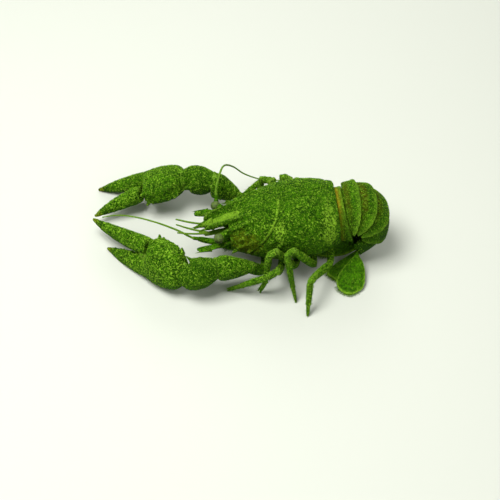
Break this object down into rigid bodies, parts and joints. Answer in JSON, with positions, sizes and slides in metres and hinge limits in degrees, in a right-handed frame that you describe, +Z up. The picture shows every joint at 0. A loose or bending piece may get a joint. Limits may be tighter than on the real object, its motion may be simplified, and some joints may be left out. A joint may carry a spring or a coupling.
{
  "type": "spiny-cheek crayfish",
  "caption": "Life-size crayfish standing on its legs with both claws held forward and the abdomen curled under, the tail fan spread on the floor.",
  "frame": {"origin": "middle of the animal's outline on the floor that it stands on", "axes": "+Z up; -X is the way the head and claws point and +X the curled tail; -Y is the animal's left side and +Y its right side"},
  "size_m": [0.0867, 0.0542, 0.0249],
  "materials": {
    "shell_shield": "dull olive shell with silt",
    "shell_abdomen": "olive shell with rust-brown bands",
    "shell_tail_fan": "thin olive plates with a light rim",
    "shell_claws": "olive shell with light knobs",
    "shell_legs": "light olive shell",
    "shell_underside": "pale shell",
    "feelers": "ringed olive brown",
    "eyes": "glossy black"
  },
  "bodies": {
    "root": {"head_shield": "shell_shield", "thorax_shield": "shell_shield", "sternum": "shell_underside", "abdomen_1": "shell_abdomen", "abdomen_2": "shell_abdomen", "abdomen_3": "shell_abdomen", "abdomen_4": "shell_abdomen", "abdomen_5": "shell_abdomen", "abdomen_6": "shell_abdomen", "telson": "shell_tail_fan", "uropod_inner_left": "shell_tail_fan", "uropod_inner_right": "shell_tail_fan", "uropod_outer_left": "shell_tail_fan", "uropod_outer_right": "shell_tail_fan", "antenna_base_left": "feelers", "antenna_base_right": "feelers", "antenna_flagellum_left": "feelers", "antenna_flagellum_right": "feelers", "antenna_scale_left": "shell_shield", "antenna_scale_right": "shell_shield", "antennule_left": "feelers", "antennule_right": "feelers", "eye_left": "eyes", "eye_right": "eyes", "eyestalk_left": "shell_shield", "eyestalk_right": "shell_shield", "maxilliped_left": "shell_underside", "maxilliped_right": "shell_underside", "claw_base_left": "shell_claws", "claw_base_right": "shell_claws", "claw_arm_left": "shell_claws", "claw_arm_right": "shell_claws", "claw_wrist_left": "shell_claws", "claw_wrist_right": "shell_claws", "claw_palm_left": "shell_claws", "claw_palm_right": "shell_claws", "claw_finger_left": "shell_claws", "claw_finger_right": "shell_claws", "leg_2_left_upper": "shell_legs", "leg_2_left_lower": "shell_legs", "leg_2_right_upper": "shell_legs", "leg_2_right_lower": "shell_legs", "leg_3_left_upper": "shell_legs", "leg_3_left_lower": "shell_legs", "leg_3_right_upper": "shell_legs", "leg_3_right_lower": "shell_legs", "leg_4_left_upper": "shell_legs", "leg_4_left_lower": "shell_legs", "leg_4_right_upper": "shell_legs", "leg_4_right_lower": "shell_legs", "leg_5_left_upper": "shell_legs", "leg_5_left_lower": "shell_legs", "leg_5_right_upper": "shell_legs", "leg_5_right_lower": "shell_legs"}
  },
  "joints": []
}
